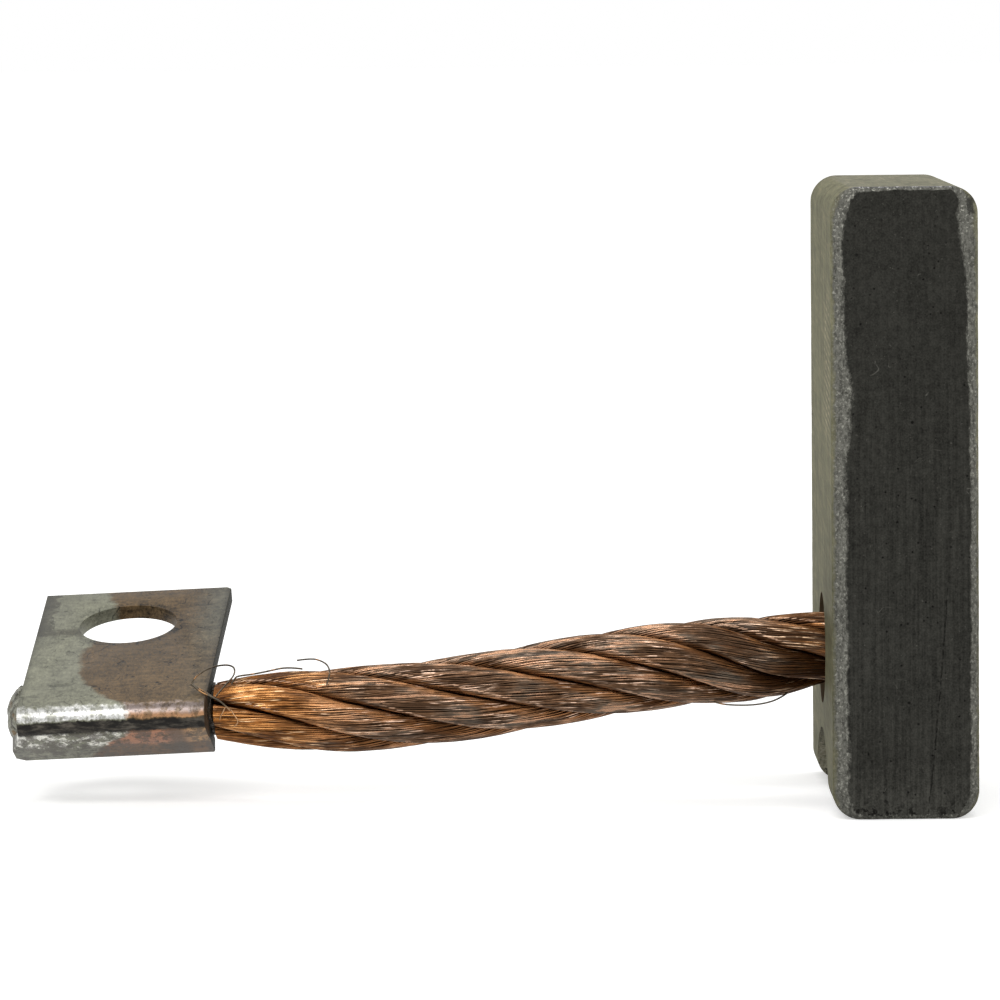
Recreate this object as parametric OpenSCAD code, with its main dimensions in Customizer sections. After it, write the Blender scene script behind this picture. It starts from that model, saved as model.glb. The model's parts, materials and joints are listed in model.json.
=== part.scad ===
// Carbon brush: a pressed block with a spring groove across its foot, a stranded copper lead
// tamped into its side, and a folded terminal welded round the lead's far end.
// Millimetres. +Z is up, towards the running face, and the lead leaves the block along -X.

/* [Block] */
// Thickness of the block, along the lead
block_t = 8; // [7:0.1:12]
// Width of the block, across the lead
block_w = 20; // [18:0.5:30]
// Height of the block, from its foot to its running face
block_h = 34.5; // [26:0.5:50]
// Radius of the four edges across the width, at the foot and at the running face
end_r = 1.5; // [0.8:0.1:2]
// How far each long edge is broken on the two narrow faces
break_t = 0.8; // [0.2:0.1:1.2]
// How far each long edge is broken on the two wide faces
break_w = 0.35; // [0.1:0.05:0.8]
// Break of the narrow faces' short edges
break_end = 0.2; // [0.1:0.05:0.5]

/* [Spring groove] */
// Radius of the groove that seats the spring
groove_r = 6.6; // [5:0.1:7.5]
// Height of the groove's crown above the foot
groove_h = 3.8; // [2:0.1:4]

/* [Lead hole] */
// Diameter of the hole that the lead is tamped into
hole_d = 6.2; // [5.6:0.1:7]
// Depth of the hole
hole_depth = 6.3; // [5:0.1:6.5]
// Height of the hole's axis above the foot
hole_z = 8.35; // [8:0.05:12]
// How far the tamped powder stops short of the block's face
powder_recess = 0.3; // [0.1:0.1:1]
// Powder left between the lead's end and the bottom of the hole
powder_floor = 0.3; // [0.2:0.1:1]
// Clearance between the lead and the powder round it
lead_clearance = 0.04; // [0.02:0.01:0.1]

/* [Lead] */
// Distance along X from the block's face to the terminal
lead_length = 34; // [24:0.5:60]
// Diameter of the lead
lead_d = 4.8; // [4.4:0.1:5.2]
// Diameter of the lead where the hole squeezes it
neck_d = 4.1; // [3.6:0.1:4.4]
// Height of the lead's axis above the foot at the terminal
mouth_z = 5.1; // [4:0.1:9]
// Length along the lead that one strand takes for a turn, at the block
lay_at_block = 22.5; // [20:0.5:40]
// Length along the lead that one strand takes for a turn, at the terminal
lay_at_terminal = 38; // [20:0.5:45]
// Radius of the core strand as a share of the lead's
core_share = 0.33; // [0.25:0.01:0.36]
// Clearance between one strand and the next
strand_gap = 0.06; // [0.03:0.01:0.1]

/* [Terminal] */
// Thickness of the sheet
sheet_t = 0.8; // [0.5:0.1:1]
// Width of the terminal, along the lead
terminal_w = 10.8; // [9:0.1:14]
// Length of the plate, from the fold to its free edge
plate_l = 16.4; // [14:0.1:24]
// Length of the flange under the lead
flange_l = 4.4; // [4:0.1:6.5]
// How far the flange is spread past the plate at the welded end
flange_spread = 0.7; // [0.1:0.1:1.2]
// Inner radius of the fold
fold_r = 0.15; // [0.1:0.05:0.4]
// Rise of the plate above level
plate_rise = 16; // [10:1:20]
// Fall of the flange below level
flange_fall = 24; // [18:1:30]
// Diameter of the screw hole
screw_d = 5.6; // [4.3:0.1:6.4]
// Distance from the screw hole's axis to the plate's free edge
screw_edge = 5; // [4:0.1:7]
// How far the screw hole is off the plate's middle, towards the welded end
screw_off = 0.2; // [0:0.1:1]
// Clip of the plate's corner
corner_clip = 0.25; // [0.1:0.05:1.5]
// Turn of the terminal about the vertical
terminal_yaw = -2.7; // [-6:0.1:0]
// Lift of the terminal's lead end above its other end
terminal_roll = 2.5; // [0:0.1:6]

/* [Welded end] */
// Radius of the fused wires' back
weld_r = 1.6; // [1.4:0.05:1.8]
// How far the fused wires stand out past the terminal
weld_out = 1.3; // [0.6:0.05:1.8]
// Overlap of the weld bead on the terminal's end
bead_lip = 0.3; // [0.1:0.05:0.5]

/* [Hidden] */
$fn = 64;
strand_count = 6;
ring_count = 44;     // sections along each strand
section_sides = 14;  // corners of a strand's section
core_sides = 10;     // corners of the core's section
section_power = 0.76; // 1 gives an ellipse, lower values a fuller sector
first_strand_angle = 44.7; // where strand 1 lies at the block's face, from +Y towards +Z
neck_length = 4;     // stretch over which the lead narrows towards the hole
mouth_length = 8;    // stretch over which the lead flattens towards the terminal
mouth_flat = 1.1;    // how much wider than round the lead is where it meets the weld
cut = 1;             // how far a cutting tool runs past what it cuts

// The lead's rise from terminal to block, as shares of the whole at ten equal steps.
rise_shares = [0, 0, 0, 0.07, 0.18, 0.34, 0.51, 0.66, 0.77, 0.83, 1];

// Angles and centres of the folded section, in the plane across the lead. Its origin is the
// middle of the lead, and the two inner faces meet in a line in front of it.
half_opening = (plate_rise + flange_fall) / 2;
bisector = (plate_rise - flange_fall) / 2;
weld_back = 0.9;  // how far the fused wires' round back sits behind the lead's middle
weld_reach = weld_r / sin(half_opening);
apex = [weld_back - weld_reach * cos(bisector), -weld_reach * sin(bisector)];
fold_centre = apex + fold_r / sin(half_opening) * [cos(bisector), sin(bisector)];
fold_out_r = fold_r + sheet_t;
weld_front_r = fold_r + 0.2; // radius of the fused wires in the throat of the fold
weld_length = terminal_w + weld_out;

// Where the lead starts and ends, in a frame whose origin is the block's lower left front corner.
mouth = [-lead_length, block_w / 2, mouth_z];
lead_in = hole_depth - powder_floor;

function mix(a, b, k) = a + (b - a) * k;
function limited(k) = max(0, min(1, k));
function eased(k) = k * k * (3 - 2 * k);
function unit(v) = v / norm(v);

// A point of the terminal's own frame [along, back, up] in the block's frame.
along_axis = [cos(terminal_roll) * cos(terminal_yaw), cos(terminal_roll) * sin(terminal_yaw), sin(terminal_roll)];
back_axis = [-sin(terminal_yaw), cos(terminal_yaw), 0];
up_axis = cross(along_axis, back_axis);
function terminal_point(p) = mouth + p[0] * along_axis + p[1] * back_axis + p[2] * up_axis;

// The whole part is centred over the origin: from the weld to the block's far face along X, and
// from the block's front to the plate's free edge along Y.
plate_edge = fold_centre + plate_l * [cos(plate_rise), sin(plate_rise)]
  + fold_r * [-sin(plate_rise), cos(plate_rise)];
low_x = terminal_point([-weld_length, weld_back, 0])[0];
high_y = max(block_w, terminal_point([-terminal_w, plate_edge[0], plate_edge[1]])[1]);
middle = [(low_x + block_t) / 2, high_y / 2, 0];

module placed() {
  translate(-middle) children();
}

// ---- block ----

module rounded_rectangle(w, h, r) {
  translate([r, 0]) square([w - 2 * r, h]);
  translate([0, r]) square([w, h - 2 * r]);
  for (x = [r, w - r], y = [r, h - r])
    translate([x, y]) circle(r);
}

// A rectangle from the origin whose corners are cut by a along its width and b along its height.
module clipped_rectangle(w, h, a, b) {
  polygon([[a, 0], [w - a, 0], [w, b], [w, h - b], [w - a, h], [a, h], [0, h - b], [0, b]]);
}

module lead_hole(depth, d) {
  translate([0, block_w / 2, hole_z]) rotate([0, 90, 0]) cylinder(d = d, h = depth);
}

module carbon_block() {
  color([0.2, 0.2, 0.19]) placed() difference() {
    intersection() {
      translate([0, block_w, 0]) rotate([90, 0, 0]) linear_extrude(block_w)
        rounded_rectangle(block_t, block_h, end_r);
      linear_extrude(block_h)
        clipped_rectangle(block_t, block_w, break_t, break_w);
      rotate([90, 0, 90]) linear_extrude(block_t)
        clipped_rectangle(block_w, block_h, break_end, break_end);
    }
    translate([-cut, block_w / 2, groove_h - groove_r]) rotate([0, 90, 0])
      cylinder(r = groove_r, h = block_t + 2 * cut);
    translate([-cut, 0, 0]) lead_hole(hole_depth + cut, hole_d);
  }
}

module tamped_powder() {
  color([0.36, 0.32, 0.26]) placed() difference() {
    translate([powder_recess, 0, 0]) lead_hole(hole_depth - powder_recess, hole_d);
    lead_hole(lead_in, neck_d + 2 * lead_clearance);
  }
}

// ---- lead ----

// Height share at f, from 0 at the terminal to 1 at the block, on a smooth curve through
// rise_shares. Inside the hole f is over 1 and the lead is level.
function share_at(i) = rise_shares[max(0, min(len(rise_shares) - 1, i))];
function rise_share(f) =
  let (
    n = len(rise_shares) - 1,
    i = min(n - 1, floor(limited(f) * n)),
    k = limited(f) * n - i,
    before = (share_at(i + 1) - share_at(i - 1)) / 2,
    after = (share_at(i + 2) - share_at(i)) / 2
  )
  share_at(i) * (2 * k * k * k - 3 * k * k + 1) + share_at(i + 1) * (3 * k * k - 2 * k * k * k)
    + before * (k * k * k - 2 * k * k + k) + after * (k * k * k - k * k);

// The lead's middle at distance x from the block's face, negative outside it. It leaves the
// terminal along the terminal's own turn and comes back over the hole's axis.
function lead_point(x) =
  let (f = limited(1 + x / lead_length))
  [
    x,
    block_w / 2 + lead_length * tan(terminal_yaw) * f * pow(1 - f, 2),
    mix(mouth_z, hole_z, rise_share(f)),
  ];

// The section's axes at x, [along, side, up]: the terminal's own at the mouth and the route's beyond.
function lead_axes(x) =
  let (
    k = eased(limited((x + lead_length) / mouth_length)),
    step = 0.2,
    route = x < 0 ? unit(lead_point(x + step) - lead_point(x - step)) : [1, 0, 0],
    along = unit(mix(along_axis, route, k)),
    side_guess = mix(back_axis, [0, 1, 0], k),
    up = unit(cross(along, side_guess))
  )
  [along, cross(up, along), up];

// Half the lead's width and height at x.
function narrowed(size, x) = mix(size, neck_d / 2, eased(limited(1 + x / neck_length)));
function opened(x) = 1 - pow(1 - limited((x + lead_length) / mouth_length), 2);
function half_width(x) = narrowed(mix(mouth_flat * lead_d / 2, lead_d / 2, opened(x)), x);
function half_height(x) = narrowed(mix(weld_r, lead_d / 2, opened(x)), x);

// How far a strand has turned at x. Its lay grows evenly from the block to the terminal.
function turned(x) =
  let (lay = x > 0 ? lay_at_block : mix(lay_at_block, lay_at_terminal, -x / lead_length))
  360 * x / ((lay_at_block + lay) / 2);

// A place on the lead's section, from its polar share of the radius and its angle.
function lead_surface(x, share, angle) =
  let (axes = lead_axes(x))
  lead_point(x) + share * half_width(x) * cos(angle) * axes[1]
    + share * half_height(x) * sin(angle) * axes[2];

// A rounded sector between the core and the lead's outside: [share of the radius, angle] at a.
inner_share = core_share + 2 * strand_gap / lead_d;
middle_share = (1 + inner_share) / 2;
half_angle = 180 / strand_count - strand_gap / lead_d / middle_share * 180 / PI;
function fuller(v) = sign(v) * pow(abs(v), section_power);
function sector_point(a) =
  [middle_share + (1 - inner_share) / 2 * fuller(cos(a)), half_angle * fuller(sin(a))];

function ring_x(i) = mix(-lead_length, lead_in, i / (ring_count - 1));

// Rings of n points each, listed from the terminal to the block, joined into one closed solid.
module swept(points, n) {
  sides = [
    for (i = [0 : ring_count - 2], j = [0 : n - 1])
      let (a = i * n + j, b = i * n + (j + 1) % n)
      each [[a, a + n, b + n], [a, b + n, b]]
  ];
  first = [for (j = [0 : n - 1]) j];
  last = [for (j = [n - 1 : -1 : 0]) (ring_count - 1) * n + j];
  polyhedron(points = points, faces = concat(sides, [first, last]), convexity = 10);
}

module strand(k) {
  color([0.72, 0.42, 0.24]) placed() swept([
    for (i = [0 : ring_count - 1], j = [0 : section_sides - 1])
      let (
        x = ring_x(i),
        p = sector_point(360 * j / section_sides),
        angle = first_strand_angle + 360 / strand_count * (k - 1) + turned(x)
      )
      lead_surface(x, p[0], angle + p[1])
  ], section_sides);
}

module core_strand() {
  color([0.6, 0.34, 0.2]) placed() swept([
    for (i = [0 : ring_count - 1], j = [0 : core_sides - 1])
      let (x = ring_x(i))
      lead_surface(x, core_share, 360 * j / core_sides + turned(x))
  ], core_sides);
}

// ---- terminal and weld, in the terminal's own frame ----

module on_terminal() {
  placed() translate(mouth) rotate([0, -terminal_roll, terminal_yaw]) children();
}

// Sweeps a section drawn as [back, up] along the lead, from u to u + length.
module along_lead(u, length) {
  translate([u, 0, 0]) rotate([90, 0, 90]) linear_extrude(length) children();
}

// The open side of the fold, from the flange round the back to the plate.
module fold_mouth() {
  far = 4 * fold_out_r;
  polygon([
    [0, 0],
    far * [cos(90 + plate_rise), sin(90 + plate_rise)],
    far * [1, 1],
    far * [1, -1],
    far * [cos(-90 - flange_fall), sin(-90 - flange_fall)],
  ]);
}

module terminal_section() {
  translate(fold_centre) {
    difference() {
      circle(fold_out_r);
      circle(fold_r);
      fold_mouth();
    }
    rotate(plate_rise) translate([0, fold_r]) square([plate_l, sheet_t]);
    rotate(-flange_fall) translate([0, -fold_out_r]) square([flange_l, sheet_t]);
  }
}

// Puts children on the plate's lower face: along the lead, back from the fold, and up.
module on_plate() {
  translate([0, fold_centre[0], fold_centre[1]]) rotate([plate_rise, 0, 0])
    translate([0, 0, fold_r]) children();
}

// The ear that the flange is spread to at the welded end.
module flange_ear() {
  outer = -terminal_w - flange_spread;
  corner = min(flange_spread, 0.5);
  translate([0, fold_centre[0], fold_centre[1]]) rotate([-flange_fall, 0, 0])
    translate([0, 0, -fold_out_r]) linear_extrude(sheet_t)
      polygon([
        [-terminal_w + 1, 0.5], [-terminal_w, 0.8], [outer, 0.55 * flange_l],
        [outer, flange_l - corner], [outer + corner, flange_l], [-terminal_w + 1, flange_l],
      ]);
}

module terminal() {
  color([0.5, 0.48, 0.44]) on_terminal() difference() {
    union() {
      along_lead(-terminal_w, terminal_w) terminal_section();
      flange_ear();
    }
    on_plate() translate([-terminal_w / 2 - screw_off, plate_l - screw_edge, -cut])
      cylinder(d = screw_d, h = sheet_t + 2 * cut);
    on_plate() translate([0, plate_l, -cut]) linear_extrude(sheet_t + 2 * cut)
      polygon([[-corner_clip, 0], [0, -corner_clip], [cut, -corner_clip], [cut, cut], [-corner_clip, cut]]);
  }
}

// A wedge that fills the fold: its flat sides lie on the plate and the flange, and its round
// back has radius r. front_r rounds it in the throat.
module wedge(r, front_r) {
  back_centre = apex + r / sin(half_opening) * [cos(bisector), sin(bisector)];
  front_centre = apex + front_r / sin(half_opening) * [cos(bisector), sin(bisector)];
  upper = [-sin(plate_rise), cos(plate_rise)];
  lower = [-sin(flange_fall), -cos(flange_fall)];
  translate(back_centre) circle(r);
  translate(front_centre) circle(front_r);
  polygon([
    front_centre + front_r * upper, front_centre + front_r * lower,
    back_centre + r * lower, back_centre + r * upper,
  ]);
}

module welded_wire_end() {
  bead_r = weld_r + bead_lip;
  dome_r = 1.3 * bead_r;
  color([0.62, 0.5, 0.38]) on_terminal() {
    along_lead(-terminal_w, terminal_w) wedge(weld_r, weld_front_r);
    difference() {
      intersection() {
        along_lead(-weld_length, weld_out) translate([weld_back, 0]) scale([1.3, 1]) circle(bead_r);
        translate([dome_r - weld_length, weld_back, 0]) sphere(dome_r);
      }
      flange_ear();
    }
  }
}

carbon_block();
tamped_powder();
core_strand();
strand(1);  // strand_1
strand(2);  // strand_2
strand(3);  // strand_3
strand(4);  // strand_4
strand(5);  // strand_5
strand(6);  // strand_6
welded_wire_end();
terminal();
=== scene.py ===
"""Dresses a carbon brush.

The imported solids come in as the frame. The carbon block, the copper strands and the weld are
remade in finer detail where their solids lie, and the terminal keeps its solid.
"""

import json
import math

import bmesh
import bpy
import numpy as np
from bpy.props import FloatProperty, FloatVectorProperty, IntProperty, PointerProperty
from mathutils import Matrix, Vector, noise


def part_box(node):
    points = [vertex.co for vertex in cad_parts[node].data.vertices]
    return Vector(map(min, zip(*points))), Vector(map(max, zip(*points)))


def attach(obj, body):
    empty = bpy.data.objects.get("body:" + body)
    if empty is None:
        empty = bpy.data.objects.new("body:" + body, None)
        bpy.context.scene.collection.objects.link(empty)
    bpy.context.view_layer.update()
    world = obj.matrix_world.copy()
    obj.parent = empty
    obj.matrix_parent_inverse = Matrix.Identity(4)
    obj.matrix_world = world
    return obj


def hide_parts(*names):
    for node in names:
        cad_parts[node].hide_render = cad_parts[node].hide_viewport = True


bl_info = {
    "name": "Carbon Brush",
    "version": (1, 0, 0),
    "blender": (4, 5, 0),
    "location": "View3D > Sidebar > Carbon Brush",
    "description": "Details a carbon brush: broken carbon edges, stranded copper wires and a half-tinned terminal",
    "category": "Object",
}

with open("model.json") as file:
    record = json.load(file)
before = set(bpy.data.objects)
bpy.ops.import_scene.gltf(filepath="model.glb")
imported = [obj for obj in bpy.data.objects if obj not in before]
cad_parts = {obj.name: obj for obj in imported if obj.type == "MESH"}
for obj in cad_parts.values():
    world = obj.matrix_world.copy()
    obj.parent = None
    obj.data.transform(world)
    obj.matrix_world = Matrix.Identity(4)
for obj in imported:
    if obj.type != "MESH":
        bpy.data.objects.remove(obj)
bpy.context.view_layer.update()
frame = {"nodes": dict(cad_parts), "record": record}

MM = 0.001
BODY = "root"
BLOCK_LOW, BLOCK_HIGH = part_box("carbon_block")
STRANDS = ["strand_1", "strand_2", "strand_3", "strand_4", "strand_5", "strand_6"]


# ---- sizes and colours ----


def length(name, description, default):
    """A length in metres."""
    return FloatProperty(name=name, description=description, default=default, unit="LENGTH", precision=5)


def colour(name, description, default):
    """A linear colour."""
    return FloatVectorProperty(
        name=name, description=description, default=default, subtype="COLOR", size=3, min=0, max=1
    )


class BlockSettings(bpy.types.PropertyGroup):
    """Sizes and colours of the carbon block."""

    end_radius: length("End radius", "Radius of the four edges across the block's width", 1.5 * MM)
    break_back: length("Break on the wide faces", "How far a broken edge reaches on the wide faces", 0.35 * MM)
    break_end: length("Break at the ends", "How far a broken edge reaches at the top and the foot", 0.2 * MM)
    grain: length("Grain", "Depth of the pressed grain on a broken edge", 0.05 * MM)
    groove_radius: length("Groove radius", "Radius of the groove that seats the spring", 6.6 * MM)
    groove_height: length("Groove height", "Height of the groove's crown above the foot", 3.8 * MM)
    hole_radius: length("Hole radius", "Radius of the hole that holds the lead", 3.1 * MM)
    hole_depth: length("Hole depth", "Depth of the hole that holds the lead", 6.3 * MM)
    hole_height: length("Hole height", "Height of the hole's axis above the foot", 8.35 * MM)
    carbon: colour("Carbon", "Colour of the pressed carbon", (0.0285, 0.028, 0.0242))
    # Lighter than dust alone: painted sheen, the pale shine of carbon seen at a grazing angle.
    dust_and_sheen: colour("Dust", "Colour of the dusty narrow faces", (0.172, 0.166, 0.115))
    broken: colour("Broken carbon", "Colour of the bright grains on a broken edge", (0.165, 0.163, 0.142))


class LeadSettings(bpy.types.PropertyGroup):
    """Sizes and colours of the stranded copper lead."""

    reach: length("Reach", "Distance from the block's face to the terminal", 34 * MM)
    diameter: length("Diameter", "Diameter of the lead", 4.8 * MM)
    neck: length("Neck", "Diameter of the lead where the hole squeezes it", 4.1 * MM)
    mouth_height: length("Mouth height", "Height of the lead's axis at the terminal", 5.1 * MM)
    lay_at_block: length("Lay at the block", "Length of one turn of a strand at the block", 22.5 * MM)
    lay_at_terminal: length("Lay at the terminal", "Length of one turn of a strand at the terminal", 38 * MM)
    strand_gap: length("Strand gap", "Clearance between one strand and the next", 0.06 * MM)
    wire_diameter: length("Wire diameter", "Diameter of one copper wire", 0.1 * MM)
    wires: IntProperty(name="Wires", description="Wires in each layer of a strand", default=54, min=3, max=90)
    turns: FloatProperty(name="Turns", description="Turns of the wires round their strand", default=-2.8)
    unevenness: FloatProperty(
        name="Unevenness", description="How far the wires wander", default=0.55, min=0, max=1, subtype="FACTOR"
    )
    tarnish: colour("Tarnish", "Colour of tarnished copper wire", (0.058, 0.032, 0.018))
    copper: colour("Copper", "Colour of bright copper wire", (0.42, 0.235, 0.14))


class TerminalSettings(bpy.types.PropertyGroup):
    """Colours of the folded terminal."""

    tin: colour("Tin", "Colour of the dull tinning", (0.176, 0.176, 0.130))
    bare: colour("Bare copper", "Colour of the oxidised copper", (0.091, 0.0595, 0.0295))


class StageSettings(bpy.types.PropertyGroup):
    """The studio."""

    floor: colour("Floor", "Colour of the floor and backdrop", (0.86, 0.86, 0.85))
    lamp: FloatProperty(name="Lamps", description="Strength of all lamps", default=1.0, min=0)


# ---- helpers for nodes ----


def socket(sockets, key):
    """The usable socket of that name or number."""
    if isinstance(key, int):
        return sockets[key]
    return next(s for s in sockets if s.name == key and s.enabled)


class Value:
    """An output socket in a sum or product: each operator adds a math node."""

    def __init__(self, nodes, source):
        self.nodes, self.source = nodes, source

    def __add__(self, other):
        return self.nodes.math("ADD", self, other)

    def __radd__(self, other):
        return self.nodes.math("ADD", other, self)

    def __sub__(self, other):
        return self.nodes.math("SUBTRACT", self, other)

    def __rsub__(self, other):
        return self.nodes.math("SUBTRACT", other, self)

    def __mul__(self, other):
        return self.nodes.math("MULTIPLY", self, other)

    def __rmul__(self, other):
        return self.nodes.math("MULTIPLY", other, self)

    def __truediv__(self, other):
        return self.nodes.math("DIVIDE", self, other)

    def __abs__(self):
        return self.nodes.math("ABSOLUTE", self)


class Nodes:
    """Adds nodes to one tree. Numbers fill a socket and values are linked to it."""

    def __init__(self, tree):
        self.tree = tree

    def fill(self, target, value):
        if isinstance(value, Value):
            self.tree.links.new(value.source, target)
        else:
            target.default_value = value

    def add(self, kind, sockets=None, out=0, **settings):
        node = self.tree.nodes.new(kind)
        for name, value in settings.items():
            setattr(node, name, value)
        for key, value in (sockets or {}).items():
            self.fill(socket(node.inputs, key), value)
        return node if out is None else Value(self, socket(node.outputs, out))

    def outputs(self, kind, sockets=None):
        """All values that a node gives, by name."""
        return {out.name: Value(self, out) for out in self.add(kind, sockets, None).outputs}

    def math(self, operation, a, b=0.0):
        return self.add("ShaderNodeMath", {0: a, 1: b}, operation=operation)

    def max(self, first, *others):
        for other in others:
            first = self.math("MAXIMUM", first, other)
        return first

    def min(self, a, b):
        return self.math("MINIMUM", a, b)

    def vector(self, operation, a, b=(0, 0, 0), out=0):
        return self.add("ShaderNodeVectorMath", {0: a, 1: b}, out, operation=operation)

    def scaled(self, a, scale):
        return self.add("ShaderNodeVectorMath", {0: a, "Scale": scale}, operation="SCALE")

    def split(self, vector):
        """A vector's X, Y and Z."""
        return self.outputs("ShaderNodeSeparateXYZ", {"Vector": vector}).values()

    def joined(self, x=0.0, y=0.0, z=0.0):
        """A vector of X, Y and Z."""
        return self.add("ShaderNodeCombineXYZ", {"X": x, "Y": y, "Z": z})

    def size(self, *axes):
        """Length of a vector of X, Y and Z."""
        return self.vector("LENGTH", self.joined(*axes), out="Value")

    def ramp(self, value, low, high, to_low=0.0, to_high=1.0):
        """Brings value from low..high to a smooth 0..1, or the given ends."""
        return self.add(
            "ShaderNodeMapRange",
            {"Value": value, "From Min": low, "From Max": high, "To Min": to_low, "To Max": to_high},
            interpolation_type="SMOOTHSTEP",
        )

    def straight(self, value, low, high):
        """Brings value from low..high to a straight 0..1."""
        return self.add("ShaderNodeMapRange", {"Value": value, "From Min": low, "From Max": high})

    def mix(self, factor, a, b):
        """One colour over another. Colours are values or three numbers."""
        a, b = (colour if isinstance(colour, Value) else rgb(colour) for colour in (a, b))
        return self.add(
            "ShaderNodeMix", {"Factor": factor, "A": a, "B": b}, "Result", data_type="RGBA", clamp_factor=True
        )

    def noise(self, vector, scale, detail=2.0, roughness=0.5, distortion=0.0):
        return self.add(
            "ShaderNodeTexNoise",
            {"Vector": vector, "Scale": scale, "Detail": detail, "Roughness": roughness, "Distortion": distortion},
            "Fac",
        )


class Surface(Nodes):
    """A material whose pattern is laid out in millimetres of the object's own space."""

    def __init__(self, name):
        self.material = bpy.data.materials.new(name)
        self.material.use_nodes = True
        super().__init__(self.material.node_tree)
        self.shader = next(n for n in self.tree.nodes if n.type == "BSDF_PRINCIPLED")
        place = self.add("ShaderNodeTexCoord", out="Object")
        self.place = self.scaled(place, 1 / MM)

    def stretched(self, x, y, z):
        return self.vector("MULTIPLY", self.place, (x, y, z))

    def attribute(self, name):
        return self.add("ShaderNodeAttribute", out="Fac", attribute_name=name)

    def hairs(self, scale, thickness, chosen):
        """Thin curved scratches, here and there."""
        line = abs(self.noise(self.place, scale, 1.0, 0.5, 0.6) - 0.5)
        where = self.ramp(self.noise(self.place, scale * 1.5, 1.0), chosen, chosen + 0.04)
        return self.ramp(line, thickness, 0.0) * where

    def dots(self, scale, radius, chosen):
        """Round dots of a radius in shares of their spacing, here and there."""
        cells = self.add("ShaderNodeTexVoronoi", {"Vector": self.place, "Scale": scale}, "Distance")
        where = self.ramp(self.noise(self.place, scale * 0.4, 2.0), chosen, chosen + 0.08)
        return self.ramp(cells, radius, radius * 0.4) * where

    def finish(self, bump=None, bump_height=0.02, **sockets):
        """Fills the shader's sockets. bump_height is in millimetres."""
        if bump is not None:
            sockets["Normal"] = self.add(
                "ShaderNodeBump", {"Height": bump, "Distance": bump_height * MM, "Strength": 1.0}, "Normal"
            )
        for name, value in sockets.items():
            self.fill(self.shader.inputs[name.replace("_", " ")], value)
        return self.material


def rgb(value):
    return (*value, 1.0)


def named_object(name, mesh):
    made = bpy.data.objects.new(name, mesh)
    bpy.context.scene.collection.objects.link(made)
    return made


def baked(source, name):
    """A plain mesh object of what the source's modifiers make. The source is removed."""
    graph = bpy.context.evaluated_depsgraph_get()
    graph.update()
    mesh = bpy.data.meshes.new_from_object(source.evaluated_get(graph), depsgraph=graph)
    mesh.name = name
    bpy.data.objects.remove(source)
    return named_object(name, mesh)


def dress(piece, material, sharp_angle=None):
    """Gives a piece one material and, with an angle, smooth shading between edges sharper than it."""
    piece.data.materials.clear()
    piece.data.materials.append(material)
    if sharp_angle is not None:
        piece.data.shade_smooth()
        piece.data.set_sharp_from_angle(angle=sharp_angle)


def stand_in(piece, slot, *nodes):
    """The piece rides on the body and stands for those nodes, which it hides. The slot is not used."""
    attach(piece, BODY)
    if nodes:
        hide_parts(*nodes)


def unit(v):
    return v / np.linalg.norm(v, axis=-1, keepdims=True)


def eased(k):
    k = np.clip(k, 0, 1)
    return k * k * (3 - 2 * k)


def mixed(a, b, k):
    return a + (b - a) * k


# ---- carbon block ----

OUTLINE_STEP = 0.14  # millimetres between points round the block's outline
BREAK_BAND = 2.2  # millimetres of each narrow face that are meshed finely
BREAK_RINGS = 22
SOFT_EDGE = 0.16  # share of a broken edge's depth over which its two borders are rounded
# Distances of the rows of points from each wide face, in millimetres.
EDGE_ROWS = [0, 0.06, 0.12, 0.18, 0.25, 0.32, 0.4, 0.5, 0.65, 0.85, 1.1, 1.5, 2.2, 4, 7]
# How far each long edge is broken on the narrow faces, as (height, width) in millimetres.
FRONT_LEFT = [
    (0, 0.9), (8, 0.82), (16, 0.78), (20, 0.86), (23.5, 1.08), (27, 0.7), (31.5, 0.64), (33.2, 0.8), (34.5, 1.35)
]
FRONT_RIGHT = [(0, 0.52), (10, 0.46), (18, 0.45), (24, 0.56), (29, 0.66), (32, 0.95), (34.5, 1.4)]
BACK_LEFT = [(0, 0.7), (12, 0.85), (22, 0.65), (34.5, 0.9)]
BACK_RIGHT = [(0, 0.8), (14, 0.6), (26, 0.8), (34.5, 0.7)]
SAW_PITCH = 0.42  # millimetres between the saw marks
FACET_X, FACET_Z = 7.58, 33.5  # where the front face is worn to a facet
CUT_PAST = 1 * MM  # how far the cutters stand out of the block


def rounded_loop(width, height, radius, inset, counts):
    """Points round a rounded rectangle, set in from the outline. counts are for an arc, a foot and a side."""
    arc, across, up = counts
    reach = inset + radius
    corners = [(reach, reach), (width - reach, reach), (width - reach, height - reach), (reach, height - reach)]
    points = []
    for i, (x, z) in enumerate(corners):
        turn = np.radians(180 + 90 * i + 90 * np.arange(arc + 1) / arc)
        points += list(zip(x + radius * np.cos(turn), z + radius * np.sin(turn)))
        following = np.radians(270 + 90 * i)
        x2, z2 = corners[(i + 1) % 4]
        goal = np.array([x2 + radius * np.cos(following), z2 + radius * np.sin(following)])
        steps = (across, up)[i % 2]
        start = np.array(points[-1])
        points += [tuple(mixed(start, goal, k / steps)) for k in range(1, steps)]
    return np.array(points)


def inward(points, width, height, radius):
    """Each point's distance in from the outline, and the outline's outward direction there."""
    middle = np.array([width / 2, height / 2])
    q = points - middle
    over = np.abs(q) - (middle - radius)
    corner = np.maximum(over, 0)
    away = np.linalg.norm(corner, axis=1)
    distance = radius - away - np.minimum(over.max(1), 0)
    flat = np.where((over[:, :1] > over[:, 1:]), [[1.0, 0.0]], [[0.0, 1.0]])
    direction = np.where((away > 1e-9)[:, None], corner / np.maximum(away, 1e-9)[:, None], flat)
    return distance, direction * np.where(q < 0, -1, 1)


def at_height(table, z):
    heights, widths = zip(*table)
    return np.interp(z, heights, widths)


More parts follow.
